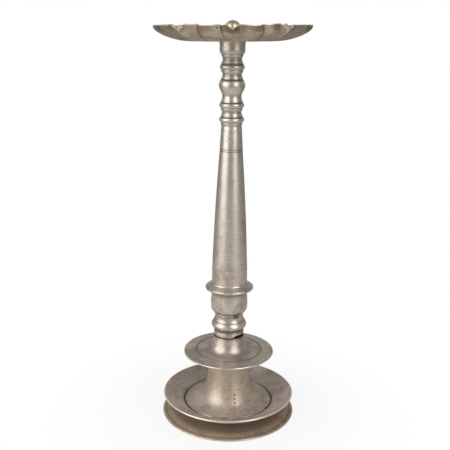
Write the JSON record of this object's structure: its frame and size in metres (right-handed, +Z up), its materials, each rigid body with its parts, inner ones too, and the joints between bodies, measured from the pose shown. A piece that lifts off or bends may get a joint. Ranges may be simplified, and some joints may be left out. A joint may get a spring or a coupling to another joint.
{
  "type": "altar candlestick",
  "caption": "Tall turned lamp stand with a lobed dish that has pinched wick lips, a tapered shaft, a saucer knop and a drip tray on a flared foot.",
  "frame": {"origin": "centre of the foot's resting ring, on the table", "axes": "+Z up along the stem, -Y towards the front, where one of the lips points, and +X to the right"},
  "size_m": [0.1702, 0.1702, 0.4554],
  "materials": {
    "tinned_bronze": "satin, turned, tarnished grey-brown with bright worn edges",
    "dish_bronze": "cast and scraped, tarnished olive and brown",
    "foot_bronze": "satin, turned, browner than the stem",
    "rod_steel": "plain drawn steel, dulled",
    "nut_brass": "dull brass",
    "gasket_leather": "dark oiled leather"
  },
  "bodies": {
    "root": {"base_foot": "foot_bronze", "drip_tray": "tinned_bronze", "pedestal": "tinned_bronze", "saucer": "tinned_bronze", "neck_ring": "tinned_bronze", "lower_knop": "tinned_bronze", "collar_washer": "tinned_bronze", "collar_cup": "tinned_bronze", "shaft": "tinned_bronze", "lower_bead_spool": "tinned_bronze", "ball_knop": "tinned_bronze", "upper_bead_spool": "tinned_bronze", "dish_cup": "tinned_bronze", "dish": "dish_bronze", "dish_gasket": "gasket_leather", "dish_knob": "dish_bronze", "tie_rod": "rod_steel", "clamp_washer": "rod_steel", "clamp_nut": "nut_brass", "lock_nut": "nut_brass"}
  },
  "joints": []
}
